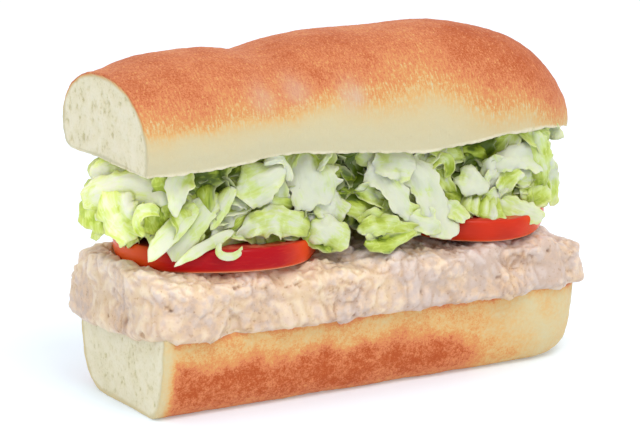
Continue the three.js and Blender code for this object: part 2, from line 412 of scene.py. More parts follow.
def rounded_cut(rings):
    """Pulls the first rings in, so that the cut's edge is slightly rounded."""
    depth = np.clip((rings[:, 0, 0] - rings[0, 0, 0]) / EDGE_ROUND, 0, 1)
    inset = EDGE_ROUND * (1 - np.sqrt(1 - (1 - depth) ** 2))
    inward = rings.mean(axis=1, keepdims=True) - rings
    inward[..., 0] = 0
    return rings + unit(inward) * inset[:, None, None]


def loaf(rings):
    """Points and quads of a closed loaf. The rings inside the cut face come first, from its
    middle, and the middles of both ends come last."""
    rings = rounded_cut(rings)
    centre = rings[0].mean(axis=0)
    shares = np.arange(1, CAP_RINGS)[:, None, None] / CAP_RINGS
    cap = centre + (rings[0] - centre) * shares
    tail = rings[-1].mean(axis=0)
    tail_rings = tail + (rings[-1] - tail) * np.array([0.66, 0.33])[:, None, None]
    every = np.concatenate([cap, rings, tail_rings])
    points = np.vstack([every.reshape(-1, 3), centre, tail])
    numbers = np.arange(len(every) * AROUND).reshape(-1, AROUND)
    sides = grid_quads(np.column_stack([numbers, numbers[:, 0]]))[:, FLIPPED]
    even = np.arange(0, AROUND, 2)
    next_even = (even + 2) % AROUND
    middle = np.full(len(even), len(points) - 2)
    last = len(points) - 2 - AROUND
    first_fan = np.column_stack([middle, next_even, even + 1, even])
    last_fan = np.column_stack([middle + 1, last + even, last + even + 1, last + next_even])
    return points, np.vstack([sides, first_fan, last_fan])


def depth_in_cut(points):
    """How far inside the cut face's rim each point is, in millimetres, and 0 outside the cut."""
    inner = CAP_RINGS - 1
    rim = points[inner * AROUND : (inner + 1) * AROUND]
    reach = np.linalg.norm(rim - rim.mean(axis=0), axis=1)
    shares = 1 - np.arange(1, CAP_RINGS)[:, None] / CAP_RINGS
    depth = np.zeros(len(points))
    depth[: inner * AROUND] = (shares * reach).ravel()
    depth[-2] = reach.mean()
    return depth


def round_the_loaf(points):
    """Distance round the loaf's section at each point, for streaks that run across the crust."""
    rings = points[:-2].reshape(-1, AROUND, 3)
    steps = np.linalg.norm(np.diff(rings, axis=1, append=rings[:, :1]), axis=2)
    return np.concatenate([(np.cumsum(steps, axis=1) - steps).ravel(), [0, 0]])


def crumb_pores(points):
    """Deep holes and shallow blotches of the crumb, each from 0 to 1."""
    tall = points * (1, 1, 0.75)
    holes = smoothstep(noise(tall, 2.2, 4) + 0.8 * noise(tall, 1.2, 5), 0.1, 1.1)
    blotches = smoothstep(noise(points, 4.5, 6) + 0.5 * noise(points, 2.4, 7), -0.5, 0.7)
    return holes, blotches


def bread(name, node, rings, bake, split_face, streaky, material):
    """A loaf with a wrinkled crust and an open crumb. `bake` gives its browning at any points,
    and `split_face` where crumb shows on its sides."""
    points, faces = loaf(rings)
    depth = depth_in_cut(points)
    inner = (CAP_RINGS - 1) * AROUND
    browning = bake(points)
    rim = np.tile(browning[inner : inner + AROUND], CAP_RINGS - 1)
    browning[:inner] = 0.6 * rim * np.exp(-depth[:inner] / CRUST) + 0.2 * rim
    crumb = np.maximum(smoothstep(depth, CRUST, 3.5 * CRUST), split_face(points))
    holes, blotches = crumb_pores(points)
    inside = np.clip(depth, 0, 1)
    wrinkles = 0.14 * noise(points, 3.2, 1) + 0.09 * noise(points, 1.5, 2) + 0.4 * noise(points, 20, 3)
    torn = 0.3 * noise(points, 5, 8) - 0.22 * holes - 0.1 * blotches
    height = wrinkles * (1 - inside) + torn * inside
    skin = np.column_stack([points[:, 0], round_the_loaf(points), np.zeros(len(points))])
    points = points + normals_of(points, faces) * height[:, None]
    points[:, 2] = np.maximum(points[:, 2], 0)
    values = {
        "bake": browning,
        "crumb": crumb,
        "holes": 0.6 * holes + 0.35 * blotches,
        "bloom": bloom(points),
        "streaky": np.full(len(points), streaky),
        "skin": skin,
    }
    make_piece(name, node, points, faces, material, values)


def crown_bake(points):
    """Browning of the upper crust: pale at the sides, brown on top and round the heel."""
    x, z = points[:, 0], points[:, 2]
    half = 89 + 2.5 * smoothstep(x, -66, -20) + 1.5 * smoothstep(x, -10, 24)
    half = half - 9 * smoothstep(x, 14, 40) - 9 * smoothstep(x, 46, 70)
    wander = 1.6 * noise(points, 13, 7) + 0.8 * noise(points, 5, 8)
    spread = 2.9 + 2.2 * smoothstep(x, -25, 20)
    baked = 1 / (1 + np.exp(-(z - half + wander) / spread))
    darker = 0.15 * smoothstep(x, 5, 55) * smoothstep(z, half - 4, half + 12)
    mottle = 0.09 * noise(points, 11, 9) + 0.06 * noise(points, 4, 10)
    return np.clip(0.02 + 0.8 * baked + darker + mottle * baked, 0, 1)


def bloom(points):
    """Pale dusty patches along the border of the upper bread's brown."""
    x, z = points[:, 0], points[:, 2]
    patches = sum(share * bump(x, at, 4) * bump(z, up, 4) for at, up, share in BLOOM_PATCHES)
    return patches * smoothstep(points[:, 1], 0, -10) * (0.9 + 0.4 * noise(points, 4, 15))


def base_bake(points):
    """Browning of the lower crust: golden and mottled, with a brown band low on the sides."""
    x, z = points[:, 0], points[:, 2]
    reach = smoothstep(x, -79, -72) * (0.7 * smoothstep(x, 38, 24) + 0.3 * smoothstep(x, 68, 36))
    wander = 2.4 * noise(points, 15, 11) + 1.2 * noise(points, 6, 12)
    top = 20.3 - 6 * smoothstep(x, 10, 32) - 3 * smoothstep(x, 32, 55)
    band = smoothstep(z + wander - top, 0, -8) * (1 - 0.45 * smoothstep(z, 4.5, 0))
    golden = 0.38 + 0.1 * noise(points, 9, 13) + 0.12 * noise(points, 3.5, 14)
    heel = smoothstep(x, 20, 60)
    pale = heel * smoothstep(z, 25, 20) * (0.8 + 0.5 * noise(points, 8, 18))
    wavy = z + 0.6 * wander
    toasted = 0.35 * smoothstep(wavy, 22, 25) * smoothstep(x, 50, 70) + 0.3 * smoothstep(wavy, 22.5, 25)
    at_cut = smoothstep(x, -74.5, -78)
    browning = golden * (1 - 0.7 * pale) + 0.55 * band * reach + toasted
    return np.clip(browning * (1 - 0.7 * at_cut), 0, 1)


def crown_split_face(points):
    """1 on the upper bread's split face, which is open crumb, and 0 on its crust."""
    return smoothstep(points[:, 2] - CROWN_SPLIT + crown_sag(points[:, 0]), 1.0, 0.2)


def base_split_face(points):
    return smoothstep(points[:, 2], BASE_HEIGHT - 0.25, BASE_HEIGHT - 0.05)


def bread_material():
    shader = Shader("baked bread", 0.6, subsurface=0.1, radius=1.2, shine=0.2)
    place = shader.place()
    skin = shader.attribute("skin", "Vector")
    bake = shader.attribute("bake")
    streaky = shader.attribute("streaky")
    streaks = shader.noise(shader.scaled(skin, (1.6, 0.4, 1)), 1.0, 2, 0.6)
    freckles = shader.noise(shader.scaled(skin, (1.4, 0.8, 1)), 1.0, 1, 0.5)
    mottles = shader.noise(place, 1.2, 4, 0.7)
    grain = shader.noise(place, 0.45, 2, 0.6)
    half_baked = shader.product(shader.ranged(bake, 0.1, 0.4), shader.ranged(bake, 0.95, 0.6))
    light_streaks = shader.product(half_baked, shader.ranged(streaks, 0.4, 0.75, 0.1, -0.25))
    browned = shader.ranged(bake, 0.2, 0.45)
    light_freckles = shader.product(browned, shader.ranged(freckles, 0.55, 0.75, 0.03, -0.22))
    speckled = shader.ranged(bake, 0.1, 0.45, 0.4, 1.0)
    even = shader.product(speckled, shader.ranged(mottles, 0.3, 0.7, 0.1, -0.1))
    crossing = shader.product(shader.math("ADD", light_streaks, light_freckles), streaky)
    spotted = shader.product(even, shader.math("SUBTRACT", 1.3, streaky))
    fine = shader.product(browned, shader.ranged(grain, 0.3, 0.7, -0.1, 0.1))
    crust = shader.ramp(
        shader.sum(bake, crossing, spotted, fine),
        (0.0, colour(214, 206, 170)),
        (0.16, colour(219, 199, 152)),
        (0.36, colour(225, 182, 119)),
        (0.56, colour(222, 155, 93)),
        (0.76, colour(219, 134, 88)),
        (1.0, colour(186, 86, 36)),
    )
    crust = shader.mix(shader.math("SUBTRACT", 1, streaky), crust, LOWER_CRUST_TINT, "MULTIPLY")
    crust = shader.mix(shader.attribute("bloom"), crust, colour(216, 182, 158))
    # Darker in the crumb's holes and pores: partly its own tan blotches and partly painted shade.
    pores = shader.noise(place, 0.8, 3, 0.6)
    depth = shader.sum(shader.attribute("holes"), shader.ranged(pores, 0.45, 0.75, 0, 0.5))
    crumb = shader.ramp(
        depth,
        (0.0, colour(246, 236, 207)),
        (0.5, colour(238, 227, 191)),
        (1.0, colour(208, 196, 150)),
    )
    shader.relief(shader.sum(streaks, grain, pores), 0.1)
    return shader.finish(shader.mix(shader.attribute("crumb"), crust, crumb))


# Tuna salad.
SALAD_FOOT = 23.5
SALAD_VOXEL = 0.6
SALAD_SMOOTHING = 0.6
SALAD_PASSES = 6
# Lightens the upper side, which the fillings above it shade.
LEDGE_TINT = (1.12, 1.17, 1.22, 1.0)


def remeshed_copy(node):
    """Points and quads of a node's solid, remeshed evenly and smoothed, in millimetres."""
    copy = add_object("copy_of_" + node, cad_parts[node].data.copy())
    remesh = copy.modifiers.new("even", "REMESH")
    remesh.mode = "VOXEL"
    remesh.voxel_size = SALAD_VOXEL * MM
    smooth = copy.modifiers.new("smooth", "SMOOTH")
    smooth.factor = SALAD_SMOOTHING
    smooth.iterations = SALAD_PASSES
    mesh = copy.evaluated_get(bpy.context.evaluated_depsgraph_get()).to_mesh()
    points = np.empty(len(mesh.vertices) * 3)
    mesh.vertices.foreach_get("co", points)
    faces = np.empty(len(mesh.polygons) * 4, int)
    mesh.polygons.foreach_get("vertices", faces)
    bpy.data.objects.remove(copy)
    return points.reshape(-1, 3) / MM, faces.reshape(-1, 4)


def soft_ridge(value):
    """Rounded lumps with narrow creases between them, from about 0 to 1."""
    return np.sqrt(value * value + 0.015)


def salad_relief(points):
    """Height of the salad's swells, flakes, small lumps and pits in millimetres, and how far
    down in them each point is, from 0 to 1, which the material turns into painted shade."""
    bent = points + 1.4 * np.stack([noise(points, 5, seed) for seed in (21, 22, 23)], axis=-1)
    swells = noise(bent, 11, 24)
    flakes = np.minimum(soft_ridge(noise(bent, 8, 25)), soft_ridge(noise(bent, 6, 26)))
    small = soft_ridge(noise(bent, 2.6, 27))
    crumbly = smoothstep(noise(points, 14, 29), -0.2, 0.45)
    grains = noise(bent, 1.2, 30)
    pits = smoothstep(noise(bent, 3.4, 33) + 0.35 * grains, -0.62, -1.0)
    height = 1.5 * swells + 2.2 * flakes + (0.3 + 0.9 * crumbly) * small + 0.16 * grains - 1.1 * pits
    creases = smoothstep(flakes, 0.26, 0.12) + 0.7 * crumbly * smoothstep(small, 0.3, 0.12)
    low = 0.35 * smoothstep(swells + 0.8 * flakes, 0.1, -0.7) + 0.4 * creases
    return height, np.clip(low + 0.8 * pits, 0, 1)


def tuna_salad():
    """The salad's own solid with its relief, a lip that hangs over the bread and a heel that
    slopes down."""
    points, faces = remeshed_copy("tuna_salad")
    x, z = points[:, 0], points[:, 2]
    height, low = salad_relief(points)
    low_part = smoothstep(z, SALAD_FOOT + 10, SALAD_FOOT + 4.5)
    height = np.maximum(height - 0.8, 0.2 * height - 3 * (1 - low_part))
    moved = points + normals_of(points, faces) * height[:, None]
    moved += hanging_lip(points, low_part)
    shoulder = smoothstep(x, 56, 74) * smoothstep(z, 32, 42)
    moved -= shoulder[:, None] * (1.5, 0, 3.5)
    values = {
        "low": low,
        "tint": noise(points, 15, 32) + 0.8 * smoothstep(x, -50, 30) - 0.2,
        "ledge": smoothstep(z, 36, 41),
    }
    make_piece("tuna_mash", "tuna_salad", moved, faces, salad_material(), values)


def hanging_lip(points, low_part):
    """How far the salad's lower edge moves out and down over the bread, most at the heel and at
    the far cut corner."""
    x, y = points[:, 0], points[:, 1]
    past_side = np.abs(y) - base_half_width(x)
    corner = smoothstep(x, BASE_CUT + 8, BASE_CUT) * smoothstep(np.abs(y), 19, 27)
    at_side = np.maximum(smoothstep(past_side, -4, -1), corner)
    at_cut = np.maximum(smoothstep(x, BASE_CUT + 3, BASE_CUT - 1), corner)
    at_heel = smoothstep(x, BASE_HEEL - 14, BASE_HEEL - 6)
    at_edge = np.maximum(np.maximum(at_side, at_cut), at_heel)
    sagging = 1.8 + 1.4 * at_heel + 0.4 * noise(points * (1, 1, 0), 8, 31)
    drop = low_part * (at_edge * sagging + 3 * at_cut * smoothstep(y, 4, 24))
    along = 1.5 * low_part * (smoothstep(x, BASE_TURN + 12, BASE_HEEL) + 1.1 * at_heel - at_cut)
    outward = np.sign(y) * low_part * at_side * np.clip(1 - past_side, 1.5, 4 - 2.5 * corner)
    return np.column_stack([along, outward, -drop])


def salad_material():
    shader = Shader("tuna salad", 0.4, subsurface=0.4, radius=3.5, scatter=(1.0, 0.8, 0.6))
    place = shader.place()
    fine = shader.noise(place, 0.9, 3, 0.65)
    blots = shader.noise(place, 2.6, 2, 0.5)
    specks = shader.noise(place, 1.1, 0, 0.5)
    tint = shader.sum(shader.attribute("tint"), shader.ranged(blots, 0.3, 0.7, -0.6, 0.6))
    cream = shader.ramp(
        shader.ranged(tint, -1.0, 1.0),
        (0.0, colour(246, 222, 190)),
        (0.5, colour(240, 214, 190)),
        (1.0, colour(222, 201, 189)),
    )
    # The shade ramp darkens the salad in its hollows, creases, pits and fine dents, which is painted
    # shade; the brown specks are the salad's own.
    depth = shader.sum(
        shader.attribute("low"),
        shader.ranged(fine, 0.5, 0.8, 0, 0.3),
        shader.ranged(specks, 0.7, 0.78, 0, 0.3),
    )
    shade = shader.ramp(
        depth,
        (0.0, WHITE),
        (0.5, (0.88, 0.8, 0.71, 1)),
        (1.0, (0.62, 0.47, 0.35, 1)),
    )
    shader.relief(fine, 0.25)
    cream = shader.mix(shader.attribute("ledge"), cream, LEDGE_TINT, "MULTIPLY")
    return shader.finish(shader.mix(1.0, cream, shade, "MULTIPLY"))


# Tomato slices.
SLICE_THICKNESS = 7.0
SLICE_TURNS = 180
Slice = namedtuple("Slice", "node radius place tilt paleness")
SLICES = [
    Slice("tomato_slice_left", 31.0, (-46, 1, 46.4), (-0.02, 0.03), 0.0),
    Slice("tomato_slice_right", 26.0, (39.5, -4, 48.6), (0.13, 0.02), 0.25),
]


def slice_profile(radius):
    """Half section of a slice as (distance from the axis, height): flat faces, a bulging skin."""
    half = SLICE_THICKNESS / 2
    turn = np.linspace(-math.pi / 2, math.pi / 2, 25)
    rim = np.column_stack([radius - 1.6 + 1.6 * np.cos(turn) ** 0.8, half * np.sin(turn)])
    out = np.linspace(0.03 * radius, radius - 1.7, 34)
    lower = np.column_stack([out, np.full_like(out, -half)])
    upper = np.column_stack([out[::-1], np.full_like(out, half)])
    return np.vstack([lower, rim, upper])


def lathe_faces(rows, turns):
    """Quads round a lathe of columns of points, with a cap at each end."""
    numbers = np.arange(turns * rows).reshape(turns, rows)
    sides = grid_quads(np.vstack([numbers, numbers[:1]]))
    return [*sides.tolist(), numbers[::-1, 0].tolist(), numbers[:, -1].tolist()]


def tomato_slice(cut, material):
    """A slice with seed pockets sunk in its faces, paler at its lower rim, and turned orange by
    painted light at its left and right ends as the camera sees them."""
    radius = cut.radius
    profile = slice_profile(radius)
    out, up = profile[:, 0], profile[:, 1]
    angle = np.linspace(0, 2 * math.pi, SLICE_TURNS, endpoint=False)[:, None]
    lobes = 1 + 0.014 * np.cos(5 * angle + 0.6)
    x = out * np.cos(angle) * lobes
    y = out * np.sin(angle) * lobes
    z = up - 0.0012 * x * x
    flesh = smoothstep(out, radius - 0.9, radius - 2.2) + 0 * x
    seeds = flesh * smoothstep(np.cos(5 * angle), -0.2, 0.5) * bump(out, 0.62 * radius, 7)
    low_rim = smoothstep(up, -0.3 * SLICE_THICKNESS, -0.46 * SLICE_THICKNESS) + 0 * x
    rim = smoothstep(-up, 0.41 * SLICE_THICKNESS, 0.48 * SLICE_THICKNESS) + 0 * x
    leftward = -np.cos(angle - AZIMUTH) + 0 * x
    painted_end_light = smoothstep(leftward, 0.35, 0.85) + 0.6 * smoothstep(-leftward, 0.6, 1)
    points = placed(x, y, z).reshape(-1, 3)
    face_side = np.broadcast_to(np.sign(up), x.shape).ravel()
    points[:, 2] += face_side * seeds.ravel() * (0.9 * noise(points, 3, 41) - 0.5)
    points += unit(points) * 0.25 * noise(points, 12, 42)[:, None]
    turned = np.array(Matrix.Rotation(cut.tilt[0], 3, "X") @ Matrix.Rotation(cut.tilt[1], 3, "Y"))
    points = points @ turned.T + np.array(cut.place)
    faces = lathe_faces(len(profile), SLICE_TURNS)
    orange = np.clip(cut.paleness + painted_end_light + 0.35 * low_rim, 0, 1) * (1 - flesh)
    values = {"flesh": flesh, "seeds": seeds, "orange": orange, "rim": rim * (1 - flesh)}
    make_piece(cut.node + "_flesh", cut.node, points, faces, material, values)


def tomato_material():
    shader = Shader("tomato", 0.25, subsurface=0.15, radius=2.0, scatter=(1.0, 0.2, 0.1), shine=0.12)
    place = shader.place()
    broad = shader.noise(place, 18, 2, 0.5)
    streaks = shader.noise(shader.scaled(place, (0.3, 0.3, 2.2)), 1.2, 3, 0.6)
    skin = shader.mix(shader.ranged(broad, 0.4, 0.6), colour(182, 12, 24), colour(210, 26, 22))
    # Lighter red streaks along the skin: painted highlights.
    skin = shader.mix(shader.ranged(streaks, 0.5, 0.75, 0, 0.25), skin, colour(222, 60, 44))
    # Orange where the slice is pale and, at its ends as the camera sees them, as painted light.
    skin = shader.mix(shader.attribute("orange"), skin, colour(252, 96, 30))
    skin = shader.mix(shader.attribute("rim"), skin, colour(250, 176, 130))
    flesh = shader.mix(shader.ranged(streaks, 0.4, 0.7), colour(200, 46, 38), colour(222, 92, 74))
    flesh = shader.mix(shader.attribute("seeds"), flesh, colour(206, 104, 44))
    shader.relief(streaks, 0.1)
    return shader.finish(shader.mix(shader.attribute("flesh"), skin, flesh))


# Lettuce.
TOWARD_CAMERA = (-0.45, -0.82, 0.35)
FRONT = (-0.15, -0.9, 0.35)
LEFT_FRONT = (-0.75, -0.55, 0.35)
HEAP_LOW = -72.0
HEAP_HIGH = 60.0
HEAP_HALF = 17.0
HEAP_FLOOR = 49.0
HEAP_ROOF = 75.0
SHRED_FLOOR = 50.0
SHRED_LEVELS = (73, 67, 61, 54)
SHRED_STEPS = {"across": 12, "along": 24}
OUTER_SHRED_STEPS = {"across": 10, "along": 20}
FRONT_SHREDS = 60
LOW_SHREDS = 20
CORE_TURNS = 90
CORE_RINGS = 150
# The heap's sides, and how many shreds leave each at every level.
Side = namedtuple("Side", "count start end outward reach tones")
SIDES = [
    # The front's shreds lie back in the dark, so their deeper greens are painted shade.
    Side(14, (HEAP_LOW, -HEAP_HALF + 2), (HEAP_HIGH, -HEAP_HALF + 2), (0, -1), 1, (0.6, 1.1)),
    Side(5, (HEAP_HIGH, -HEAP_HALF + 3), (HEAP_HIGH, HEAP_HALF), (1, 0), 3, (0.05, 0.8)),
    Side(14, (HEAP_HIGH, HEAP_HALF), (HEAP_LOW, HEAP_HALF), (0, 1), 11, (0.0, 0.8)),
    Side(4, (HEAP_LOW, HEAP_HALF), (HEAP_LOW, -HEAP_HALF + 6), (-1, 0), 6, (0.05, 0.8)),
]
LEAF_SCATTER = (0.8, 1.0, 0.25)
# Leaves are this much wider than the widths they are given.
LEAF_FULLNESS = 1.28
# Painted shade for the leaves well inside the heap, darker and yellow-green as if lit through
# other leaves, and painted light that lifts the leaves at the cut end out of the crown's shade.
INNER_PAINTED_SHADE = (0.95, 1.0, 0.35, 1.0)
CUT_END_PAINTED_LIGHT = (1.4, 1.36, 1.34, 1.0)
# Shaded gaps under the upper bread, where leaves and shreds get painted shade, each as (x, z, reach).
SHADED_GAPS = [(-9, 64, 9), (33, 66, 7), (-57, 69, 7)]


def inside_heap(points):
    """From 0 at the outside of the heap to 1 well inside it, where leaves get painted shade,
    yellow-green like light that comes through leaves.
    """
    x, y = points[..., 0], points[..., 1]
    beside = HEAP_HALF + 4 - np.abs(y)
    before_end = np.minimum(x - HEAP_LOW + 6, HEAP_HIGH + 8 - x)
    return smoothstep(np.minimum(beside, before_end), 1.5, 9)


def shaded_gap(points):
    """1 in the shaded gaps under the upper bread, and 0 away from them."""
    x, z = points[..., 0], points[..., 2]
    return np.max([bump(x, at, reach) * bump(z, up, 9) for at, up, reach in SHADED_GAPS], axis=0)


def leaf_frame(spine, facing, twist, shares):
    """Points at shares of a leaf's middle line, and its directions ahead, sideways and out."""
    line = curve_through(spine, len(shares))
    ahead = unit(np.gradient(line, axis=0))
    side = unit(np.cross(np.array(facing, float), ahead))
    out = np.cross(ahead, side)
    c, s = np.cos(twist * (shares - 0.5))[:, None], np.sin(twist * (shares - 0.5))[:, None]
    return line, ahead, side * c + out * s, out * c - side * s


def leaf_widths(widths, shares):
    """Widths at shares of a leaf, smoothed from a few even steps and closed at both ends."""
    wide = LEAF_FULLNESS * np.interp(shares, np.linspace(0, 1, len(widths)), widths)
    wide = np.convolve(np.pad(wide, 4, mode="edge"), np.ones(9) / 9, mode="valid")
    tip = np.sqrt(1 - np.minimum(shares, 0.985) ** 20)
    root = np.sqrt(1 - np.minimum(1 - shares, 0.985) ** 14)
    return wide * tip * root


def raggedness(places):
    return 2.2 * noise(places, 9, 50) + 1.8 * noise(places, 4, 51) + 0.9 * noise(places, 1.5, 52)


def leaf_ribs(grid, u, v, length):
    """A stem that thins out along the leaf, and branches that leave it at a slant."""
    stem = np.exp(-((v / (0.14 + 0.14 * (1 - u))) ** 2)) * (1 - 0.7 * u)
    edge = np.abs(v)
    branch = np.cos(2 * math.pi * (length / 5 * u + 1.6 * edge + 0.25 * noise(grid, 4, 58)))
    return np.clip(stem + 0.4 * branch.clip(0, 1) ** 8 * (1 - edge), 0, 1)


def leaf_folds(grid, v, pleats):
    """Soft folds that run along a leaf, and the depth of its pleats."""
    soft = noise(grid * (0.3, 1, 1), 3.4, 55) + 0.8 * noise(grid, 6.5, 56)
    soft = soft + 0.3 * noise(grid, 2.2, 49)
    return soft, 0.7 * (1 - np.cos(math.pi * pleats * (v + 0.1 * noise(grid, 6, 57))))


def leaf_fray(grid, u, torn, slant):
    """How far the torn ends of a leaf reach ahead."""
    across_grain = grid * (0, 1, 1)
    tip = u**6 * (slant * grid[..., 1] + 10 * torn * noise(across_grain, 3, 59))
    return tip + (1 - u) ** 6 * 8 * torn * noise(across_grain, 2.4, 47)


class Leaves:
    """Collects thin wavy leaves into one mesh."""

    def __init__(self):
        self.points = []
        self.faces = []
        self.values = defaultdict(list)
        self.total = 0
        self.count = 0

    def add(self, spine, widths, tones, facing=FRONT, curl=0.15, ruffle=1.0, waves=1.5, rib=0.3,
            thick=0.45, torn=0.16, folds=0.9, pleats=0, twist=0.0, slant=0.3, across=20, along=42):
        """A leaf whose middle line goes through a few points, with its broad side to `facing`.
        Its widths, and its tones from 0 for white to 1 for deep green, are given at even steps.
        Its section curls like an arc, away from that side where curl is positive, its edges
        ruffle, soft folds and any pleats run along it, and its tip is torn off at a slant."""
        self.count += 1
        shares = np.linspace(0, 1, along + 1)
        line, ahead, side, out = leaf_frame(spine, facing, twist, shares)
        length = np.linalg.norm(np.diff(line, axis=0), axis=1).sum()
        # u runs from 0 to 1 along the leaf, and v from -1 to 1 across it.
        u, v = np.meshgrid(shares, np.linspace(-1, 1, across + 1), indexing="ij")
        edge = np.abs(v)
        own = np.full_like(u, 7.7 * self.count)
        ragged = torn * raggedness(np.stack([u * length, 30 * np.sign(v), own], axis=-1))
        half = leaf_widths(widths, shares)[:, None] / 2 * (1 + ragged * edge**2)
        grid = np.stack([u * length, v * half, own], axis=-1)
        bend = curl * (0.9 + 0.4 * noise(grid * (1, 0, 1), 10, 53)) + 1e-3
        reach = half * np.sin(bend * v) / bend
        lift = half * (np.cos(bend * v) - 1) / bend
        phase = 2.4 * self.count + 2.2 * (v > 0)
        wave = ruffle * edge**1.6 * np.sin(2 * math.pi * (waves * u + 0.15 * noise(grid, 8, 54)) + phase)
        soft_folds, pleated = leaf_folds(grid, v, pleats)
        ribs = rib * leaf_ribs(grid, u, v, length)
        lift = lift + wave + folds * soft_folds - pleated
        middle = line[:, None] + side[:, None] * reach[..., None] + out[:, None] * lift[..., None]
        middle = middle + ahead[:, None] * leaf_fray(grid, u, torn, slant)[..., None]
        normal = unit(np.cross(*np.gradient(middle, axis=(0, 1))))
        half_thick = (thick * (1 - 0.5 * edge**4) / 2 + 0.3 * ribs)[..., None]
        deep = inside_heap(middle)
        greener = np.interp(shares, np.linspace(0, 1, len(tones)), tones)[:, None]
        greener = greener + 0.15 * edge**2 * (1 - rib) + 0.2 * noise(grid * (0.5, 1, 1), 6, 60)
        # Painted shade and light: leaves are greener in their pleats' hollows, well inside the heap and
        # in the shaded gaps, and paler on the crests of their soft folds.
        greener = greener + 0.3 * pleated - 0.2 * soft_folds + 0.55 * deep
        greener = greener + 0.5 * shaded_gap(middle) * smoothstep(middle[..., 1], -21, -18)
        facts = {
            "rib": ribs,
            "edge": np.maximum(edge, u**3) ** 8,
            "tone": greener,
            "deep": deep,
            "cut_end": smoothstep(middle[..., 0], -63, -84),
            "skin": grid,
        }
        self.add_sheet(middle + normal * half_thick, middle - normal * half_thick, facts)

    def add_sheet(self, top, under, facts):
        """The leaf's two sides and the rim between them."""
        rows, columns = top.shape[:2]
        size = rows * columns
        number = np.arange(size).reshape(rows, columns) + self.total
        rim = np.concatenate([number[:-1, 0], number[-1, :-1], number[:0:-1, -1], number[0, :0:-1]])
        after = np.roll(rim, -1)
        quads = grid_quads(number)
        around = np.column_stack([rim, rim + size, after + size, after])
        self.faces += [quads, quads[:, FLIPPED] + size, around]
        self.points += [top.reshape(-1, 3), under.reshape(-1, 3)]
        for key, value in facts.items():
            self.values[key] += [value.ravel(), value.ravel()]
        self.total += 2 * size

    def make(self, name, material):
        values = {key: np.concatenate(value) for key, value in self.values.items()}
        points, faces = np.vstack(self.points), np.vstack(self.faces)
        make_piece(name, "lettuce", points, faces, material, values)


def cut_end_leaves(add):
    """The clump at the cut end, pale and wide, and the lobe that hangs from the crown's edge."""
    add([(-75, -6, 71), (-80, 2, 72), (-85, 6, 70)], [5, 7, 8, 5], [0.45, 0.15], LEFT_FRONT)
    add([(-74, -20, 65), (-79, -15, 69), (-86, -5, 67), (-90, 1, 63)], [5, 9, 11, 8], [0.05, 0.25],
        LEFT_FRONT, curl=0.8)
    add([(-86, -9, 68), (-86, -13, 61), (-80, -15, 56)], [9, 10, 12, 8], [0.4, 0.25, 0.5], LEFT_FRONT,
        ruffle=1.6, torn=0.2, folds=1.3)
    add([(-87, -3, 65), (-88, 0, 60), (-87, 1, 54)], [7, 8, 6], [0.35, 0.5], LEFT_FRONT)
    add([(-75, -20, 62), (-80, -20, 64), (-82, -18, 61), (-80, -17, 56)], [3, 3.5, 3, 2.5],
        [0.25, 0.45], TOWARD_CAMERA, curl=-0.9)
    add([(-75, -17, 66), (-75, -16, 60), (-73, -15, 55)], [7, 8, 7], [0.6, 0.8], TOWARD_CAMERA)
    add([(-82, -8, 56), (-85, -2, 56), (-87, 1, 52)], [2.5, 4, 3], [0.4, 0.3], LEFT_FRONT, curl=0.9)
    add([(-67, -21, 75), (-71, -23, 70), (-72, -23, 63)], [6, 7, 5, 2.5], [0.45, 0.1, 0.1],
        TOWARD_CAMERA, curl=-0.5, rib=0.6)
    add([(-65, -17, 70), (-54, -19, 73), (-40, -20, 76)], [4, 5.5, 4], [0.7, 0.8])
    add([(-65, -16, 63), (-57, -16, 67), (-48, -17, 70)], [4, 6, 5], [0.9, 0.95])


def prongs(add):
    """Pale stiff strips of leaf rib that fan out over the left slice."""
    def strip(spine, widths, tones, thick=1.0):
        add(spine, widths, tones, TOWARD_CAMERA, ruffle=0.2, folds=0.3, rib=0.2, thick=thick,
            torn=0.07, curl=0.1, slant=1.1)

    strip([(-64, -21, 64), (-72, -21, 57), (-79, -19, 50)], [4, 4.6, 4.8, 4.2], [0.3, 0.2])
    strip([(-56, -20, 66), (-63, -21, 61), (-69, -20, 55), (-72, -19, 49)], [4, 7, 9, 8, 3.5],
          [0.25, 0.1, 0.0])
    strip([(-53, -23, 55), (-63, -24.5, 52), (-74, -26, 48)], [2, 2.8, 2.6, 1], [0.2, 0.0], 0.8)
    strip([(-52, -21, 68), (-55, -22, 64), (-60, -22, 58)], [3, 3.5, 4.5, 4], [0.1, 0.25])
    strip([(-59, -27, 53), (-60, -28.5, 50), (-56, -28.5, 49), (-52, -27.5, 51)],
          [1.4, 1.8, 1.8, 1], [0.05, 0.1], 0.8)


def left_leaves(add):
    """Leaves between the prongs and the white curtain."""
    add([(-51, -21, 67), (-46, -24, 69), (-36, -25, 73)], [3.5, 9, 9, 5], [0.4, 0.25, 0.1])
    add([(-43, -25, 75), (-37, -25.5, 75), (-35, -25, 69)], [1.6, 2.2, 1.8], [0.0, 0.0], rib=0.8)
    add([(-51, -22, 53), (-45, -25, 57), (-37, -25, 57), (-26, -23, 52)], [2.5, 7, 8, 5],
        [0.25, 0.35, 0.5], waves=2.5)
    add([(-45, -21, 58), (-39, -22, 61), (-32, -22, 60)], [4, 5, 4], [0.6, 0.45])
    add([(-37, -19, 62), (-45, -20, 61), (-55, -20, 54)], [3, 4.5, 4], [0.7, 0.8])


